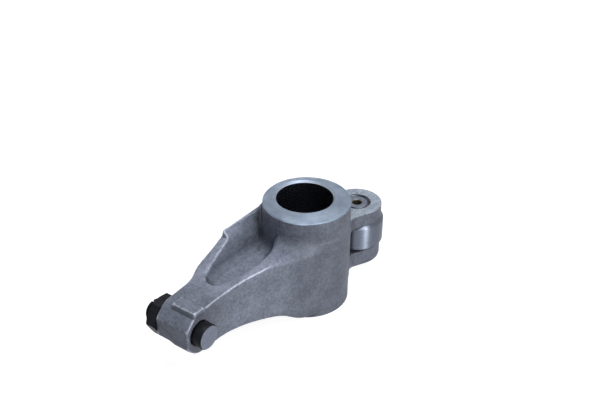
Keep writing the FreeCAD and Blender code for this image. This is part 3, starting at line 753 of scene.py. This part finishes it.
screw_spots = [(SCREW_X + radius * math.cos(angle), height, radius * math.sin(angle))
               for height, radii in screw_rows for radius, angle in zip(radii, turns * 2 * math.pi)]
screw_faces = [(row * SCREW_SIDES + k, row * SCREW_SIDES + (k + 1) % SCREW_SIDES,
                (row + 1) * SCREW_SIDES + (k + 1) % SCREW_SIDES, (row + 1) * SCREW_SIDES + k)
               for row in range(len(screw_rows) - 1) for k in range(SCREW_SIDES)]
tail_face, ball_face = range(SCREW_SIDES), range(len(screw_spots) - SCREW_SIDES, len(screw_spots))
screw = mesh_piece("screw_shank", screw_spots, screw_faces + [tuple(tail_face)[::-1], tuple(ball_face)])
screw_bmesh = bmesh.new()
screw_bmesh.from_mesh(screw.data)
bmesh.ops.recalc_face_normals(screw_bmesh, faces=screw_bmesh.faces)
screw_bmesh.to_mesh(screw.data)
screw_bmesh.free()


def block(name, low, high):
    """A box between two corners, in millimetres."""
    corners = [(x, y, z) for x in (low[0], high[0]) for y in (low[1], high[1]) for z in (low[2], high[2])]
    sides = [(0, 1, 3, 2), (4, 6, 7, 5), (0, 4, 5, 1), (2, 3, 7, 6), (0, 2, 6, 4), (1, 5, 7, 3)]
    return mesh_piece(name, corners, sides)


machine(screw, block("slot_saw", (SCREW_X - SAW_HALF, SCREW_TAIL - 2, -10),
                     (SCREW_X + SAW_HALF, SCREW_TAIL + SAW_DEPTH, 10)))
fair(screw, 40)


def black_finish(name, light, roughness):
    """Black oxide on steel: nearly even, with a little cloud in it, not rubbed yet."""
    finish, shader, place = new_finish(name)
    clouds, specks = grain(place, 3, 3), grain(place, 0.4, 2)
    shade = (clouds * 0.6 + specks * 0.4).between(0.3, 0.7).blend((0.004, 0.0045, 0.006), light)
    shade.feeds(shader.inputs["Base Color"])
    (clouds * 0.2 + (roughness - 0.1)).feeds(shader.inputs["Roughness"])
    shader.inputs["Specular IOR Level"].default_value = 0.08
    dented(shader, specks, 0.01)
    return finish


screw.data.materials.append(black_finish("black_steel", (0.011, 0.012, 0.016), 0.45))
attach(screw, "screw")
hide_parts("adjusting_screw")


# Lock nut: a thin hexagon nut of the same black finish, screwed down on the tip block's far side. Its
# corners are turned off on the outer face and its thread is chamfered there.
NUT_ACROSS, NUT_FACE, NUT_BACK, NUT_EDGE = 24, -29.0, -20.8, 0.25
NUT_CORNER = NUT_ACROSS / math.sqrt(3)
nut_angles = [math.radians(60 * k) for k in range(6)]
hexagon = [(SCREW_X + NUT_CORNER * math.cos(angle), NUT_CORNER * math.sin(angle)) for angle in nut_angles]
nut = mesh_piece("nut_hexagon", [(x, y, z) for y in (NUT_FACE, NUT_BACK) for x, z in hexagon],
                 [(0, 1, 2, 3, 4, 5), (11, 10, 9, 8, 7, 6)])
nut_bmesh = bmesh.new()
nut_bmesh.from_mesh(nut.data)
nut_bmesh.verts.ensure_lookup_table()
for k in range(6):
    nut_bmesh.faces.new([nut_bmesh.verts[n] for n in (k, (k + 1) % 6, (k + 1) % 6 + 6, k + 6)])
bmesh.ops.recalc_face_normals(nut_bmesh, faces=nut_bmesh.faces)
bmesh.ops.bevel(nut_bmesh, geom=nut_bmesh.edges, offset=NUT_EDGE * MM, segments=2, affect="EDGES")
nut_bmesh.to_mesh(nut.data)
nut_bmesh.free()
machine(nut, turned("nut_corner_form", [(0, NUT_FACE), (11.5, NUT_FACE), (14.2, NUT_FACE + 1.5),
                                        (14.2, NUT_BACK + 0.01), (0, NUT_BACK + 0.01)],
                    (SCREW_X, 0, 0), (0, 1, 0), 128), operation="INTERSECT")
machine(nut, turned("nut_bore", [(0, -35), (8.9, -35), (8.9, NUT_FACE), (THREAD_BORE, NUT_FACE + 0.85),
                                 (THREAD_BORE, -15), (0, -15)], (SCREW_X, 0, 0), (0, 1, 0), 96))
fair(nut, 25)
nut.data.materials.append(black_finish("black_nut_steel", (0.012, 0.013, 0.018), 0.45))
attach(nut, "nut")
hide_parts("lock_nut")


# Swivel foot: a short steel button on the screw's ball, black on its side, with a ground grey face
# that presses on the valve bridge. Its socket closes round the ball past its widest part.
FOOT_FACE, FOOT_RADIUS, FOOT_BACK = 13.5, 8.7, 6.5
foot_outside = [(0, FOOT_FACE), (7.95, FOOT_FACE), (8.1, 13.45), (8.6, 12.9), (FOOT_RADIUS, 12.6),
                (FOOT_RADIUS, 7.0), (8.6, 6.7), (8.2, FOOT_BACK)]
foot_socket = [(3.54, FOOT_BACK), (4.04, BALL_HEIGHT), (3.72, 10.0), (3.25, 10.86), (3.25, 12.5), (0, 12.5)]
foot = turned("foot_button", foot_outside + foot_socket, (SCREW_X, 0, 0), (0, 1, 0), 192)
fair(foot, 25)
foot.data.materials.append(black_finish("foot_side_steel", (0.011, 0.012, 0.016), 0.4))
foot.data.materials.append(milled_finish("foot_face_steel", (0.11, 0.123, 0.168), (0.16, 0.18, 0.235), 0.45))
for face in foot.data.polygons:
    face.material_index = int(face.center.y > (FOOT_FACE - 0.1) * MM)
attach(foot, "foot")
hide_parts("swivel_foot")
